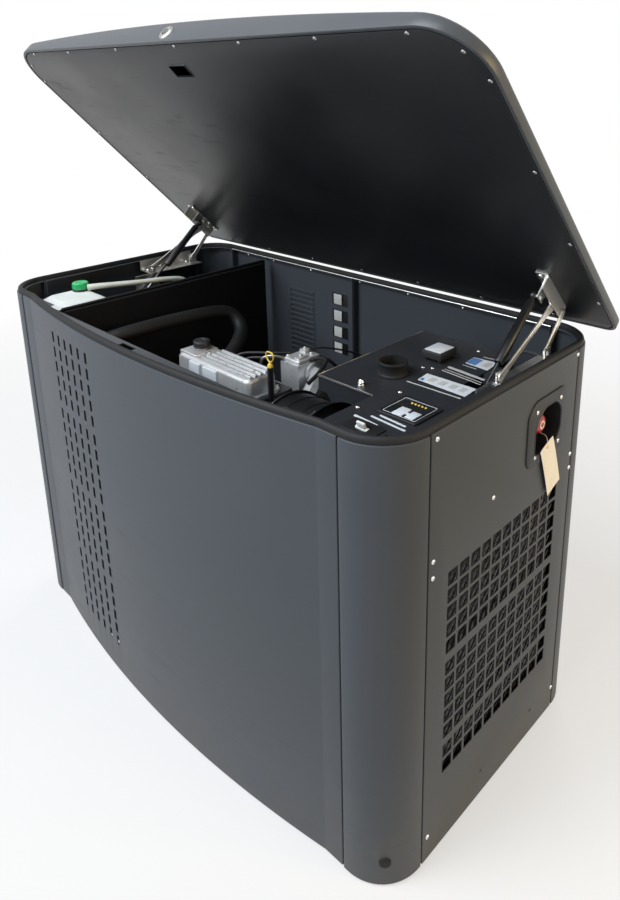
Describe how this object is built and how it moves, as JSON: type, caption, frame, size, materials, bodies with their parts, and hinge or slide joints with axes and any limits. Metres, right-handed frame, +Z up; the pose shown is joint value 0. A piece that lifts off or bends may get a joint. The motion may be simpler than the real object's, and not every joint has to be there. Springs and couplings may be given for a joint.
{
  "type": "home standby generator",
  "caption": "Home standby generator: bow-front sheet-metal enclosure with a raised lid on four-bar hinges and gas struts over an engine, alternator and control deck.",
  "frame": {"origin": "on the floor under the middle of the enclosure", "axes": "+X towards the control end, -Y towards the bowed front panel, +Z up; the lid is open at rest"},
  "size_m": [1.408, 0.7706, 1.5303],
  "materials": {
    "panel_paint": "satin dark blue-grey powder coat",
    "frame_paint": "dark grey satin paint",
    "deck_paint": "dark grey satin paint",
    "black_liner": "satin near-black",
    "black_paint": "semi-gloss black",
    "black_plastic": "matte black",
    "white_plastic": "matte off-white",
    "green_plastic": "satin green",
    "red_plastic": "glossy red",
    "yellow_plastic": "satin yellow",
    "clear_hose": "milky translucent",
    "rubber": "matte black",
    "tag_paper": "matte cream card",
    "bright_metal": "bright",
    "steel": "machined",
    "dark_chrome": "polished dark",
    "zinc": "zinc plated",
    "cast_aluminium": "as cast",
    "engine_paint": "black paint over cast aluminium",
    "heat_steel": "heat darkened",
    "filter_paint": "gloss light grey"
  },
  "bodies": {
    "enclosure": {"base_frame": "frame_paint", "post_front_left": "panel_paint", "post_front_right": "panel_paint", "post_rear_left": "panel_paint", "post_rear_right": "panel_paint", "front_panel": "panel_paint", "rear_panel_left": "panel_paint", "rear_panel_right": "panel_paint", "right_panel": "panel_paint", "left_panel": "panel_paint", "rim_seal": "rubber", "partition_wall": "black_liner", "control_deck": "deck_paint", "controller": "black_plastic", "breaker_body": "black_plastic", "relay_box": "black_plastic", "intake_tube": "rubber", "key_switch": "bright_metal", "estop_housing": "black_plastic", "radiator": "black_paint", "coolant_tank": "white_plastic", "overflow_hose": "clear_hose", "radiator_hose": "rubber", "engine_cradle": "frame_paint", "engine_block": "engine_paint", "valve_cover": "cast_aluminium", "intake_manifold": "cast_aluminium", "air_cleaner": "black_plastic", "alternator_housing": "black_paint", "starter_motor": "black_paint", "oil_filter": "filter_paint", "dipstick_tube": "steel", "muffler": "heat_steel", "battery": "black_plastic", "hinge_base_left": "zinc", "hinge_base_right": "zinc"},
    "rear_arm_right": {"rear_arm_right": "zinc"},
    "lid": {"lid_shell": "panel_paint", "lid_liner": "black_liner", "lock_body": "bright_metal", "lid_bracket_left": "zinc", "lid_bracket_right": "zinc"},
    "front_arm_right": {"front_arm_right": "zinc"},
    "front_arm_left": {"front_arm_left": "zinc"},
    "rear_arm_left": {"rear_arm_left": "zinc"},
    "strut_rod_left": {"strut_rod_left": "dark_chrome"},
    "strut_rod_right": {"strut_rod_right": "dark_chrome"},
    "strut_tube_left": {"strut_tube_left": "black_paint"},
    "strut_tube_right": {"strut_tube_right": "black_paint"},
    "lock_cylinder": {"lock_cylinder": "bright_metal"},
    "crankshaft": {"crankshaft": "steel", "fan": "black_plastic"},
    "estop_stem": {"estop_stem": "bright_metal"},
    "estop_head": {"estop_head": "red_plastic"},
    "tag": {"tag": "tag_paper"},
    "key": {"key": "bright_metal"},
    "breaker_toggle": {"breaker_toggle": "white_plastic"},
    "coolant_cap": {"coolant_cap": "green_plastic"},
    "oil_cap": {"oil_cap": "black_plastic"},
    "dipstick": {"dipstick": "yellow_plastic"}
  },
  "joints": [
    {"name": "rear_arm_right_turn", "type": "hinge", "parent": "enclosure", "child": "rear_arm_right", "pos_m": [0.609, 0.2109, 0.8801], "axis": [1, 0, 0], "range_deg": [-43.23, 0]},
    {"name": "lid_fold", "type": "hinge", "parent": "rear_arm_right", "child": "lid", "pos_m": [0.609, 0.27402, 0.95069], "axis": [1, 0, 0], "range_deg": [-0.3, 88.93]},
    {"name": "front_arm_right_turn", "type": "hinge", "parent": "enclosure", "child": "front_arm_right", "pos_m": [0.601, 0.0575, 0.8746], "axis": [1, 0, 0], "range_deg": [-25.54, 0.3]},
    {"name": "front_arm_left_turn", "type": "hinge", "parent": "enclosure", "child": "front_arm_left", "pos_m": [-0.601, 0.0575, 0.8746], "axis": [1, 0, 0], "range_deg": [-25.54, 0.3]},
    {"name": "rear_arm_left_turn", "type": "hinge", "parent": "enclosure", "child": "rear_arm_left", "pos_m": [-0.609, 0.2109, 0.8801], "axis": [1, 0, 0], "range_deg": [-43.53, 0.3]},
    {"name": "strut_rod_right_turn", "type": "hinge", "parent": "enclosure", "child": "strut_rod_right", "pos_m": [0.573, 0.0077, 0.8146], "axis": [1, 0, 0], "range_deg": [-25.35, 0.3]},
    {"name": "strut_rod_left_turn", "type": "hinge", "parent": "enclosure", "child": "strut_rod_left", "pos_m": [-0.573, 0.0077, 0.8146], "axis": [1, 0, 0], "range_deg": [-25.35, 0.3]},
    {"name": "strut_tube_right_turn", "type": "hinge", "parent": "lid", "child": "strut_tube_right", "pos_m": [0.573, 0.21562, 0.99268], "axis": [1, 0, 0], "range_deg": [-70.75, 0.3]},
    {"name": "strut_tube_left_turn", "type": "hinge", "parent": "lid", "child": "strut_tube_left", "pos_m": [-0.573, 0.21562, 0.99268], "axis": [1, 0, 0], "range_deg": [-70.75, 0.3]},
    {"name": "lock_turn", "type": "hinge", "parent": "lid", "child": "lock_cylinder", "pos_m": [-0.012, -0.21759, 1.50575], "axis": [0, -0.7022, 0.712], "range_deg": [0, 90]},
    {"name": "crankshaft_spin", "type": "hinge", "parent": "enclosure", "child": "crankshaft", "pos_m": [0, -0.12, 0.36], "axis": [1, 0, 0], "continuous": true},
    {"name": "estop_press", "type": "slide", "parent": "enclosure", "child": "estop_stem", "axis": [-1, 0, 0], "range_m": [0, 0.005], "stiffness_N_per_m": 500, "springref_m": -0.001},
    {"name": "estop_twist", "type": "hinge", "parent": "estop_stem", "child": "estop_head", "pos_m": [0.65, 0.129, 0.766], "axis": [1, 0, 0], "range_deg": [-30, 0], "stiffness_Nm_per_rad": 0.05, "springref_deg": 2.86},
    {"name": "tag_swing", "type": "hinge", "parent": "enclosure", "child": "tag", "pos_m": [0.628, 0.129, 0.766], "axis": [1, 0, 0], "range_deg": [-45, 25]},
    {"name": "key_turn", "type": "hinge", "parent": "enclosure", "child": "key", "pos_m": [0.606, -0.275, 0.862], "axis": [0, 0, -1], "range_deg": [0, 90]},
    {"name": "breaker_flip", "type": "hinge", "parent": "enclosure", "child": "breaker_toggle", "pos_m": [0.532, -0.255, 0.862], "axis": [1, 0, 0], "range_deg": [-40, 0]},
    {"name": "coolant_cap_turn", "type": "hinge", "parent": "enclosure", "child": "coolant_cap", "pos_m": [-0.555, -0.19, 0.8773], "axis": [0, 0, 1], "range_deg": [0, 180]},
    {"name": "oil_cap_turn", "type": "hinge", "parent": "enclosure", "child": "oil_cap", "pos_m": [-0.11, -0.12, 0.8043], "axis": [0, 0, 1], "range_deg": [0, 90]},
    {"name": "dipstick_pull", "type": "slide", "parent": "enclosure", "child": "dipstick", "axis": [0, 0, 1], "range_m": [0, 0.28]}
  ],
  "couplings": [
    {"joint": "lid_fold", "follows": "rear_arm_right_turn", "ratio": -2.0502},
    {"joint": "front_arm_right_turn", "follows": "rear_arm_right_turn", "ratio": 0.58398},
    {"joint": "front_arm_left_turn", "follows": "rear_arm_right_turn", "ratio": 0.58398},
    {"joint": "rear_arm_left_turn", "follows": "rear_arm_right_turn", "ratio": 1},
    {"joint": "strut_rod_right_turn", "follows": "rear_arm_right_turn", "ratio": 0.57947},
    {"joint": "strut_rod_left_turn", "follows": "rear_arm_right_turn", "ratio": 0.57947},
    {"joint": "strut_tube_right_turn", "follows": "rear_arm_right_turn", "ratio": 1.6297},
    {"joint": "strut_tube_left_turn", "follows": "rear_arm_right_turn", "ratio": 1.6297}
  ]
}
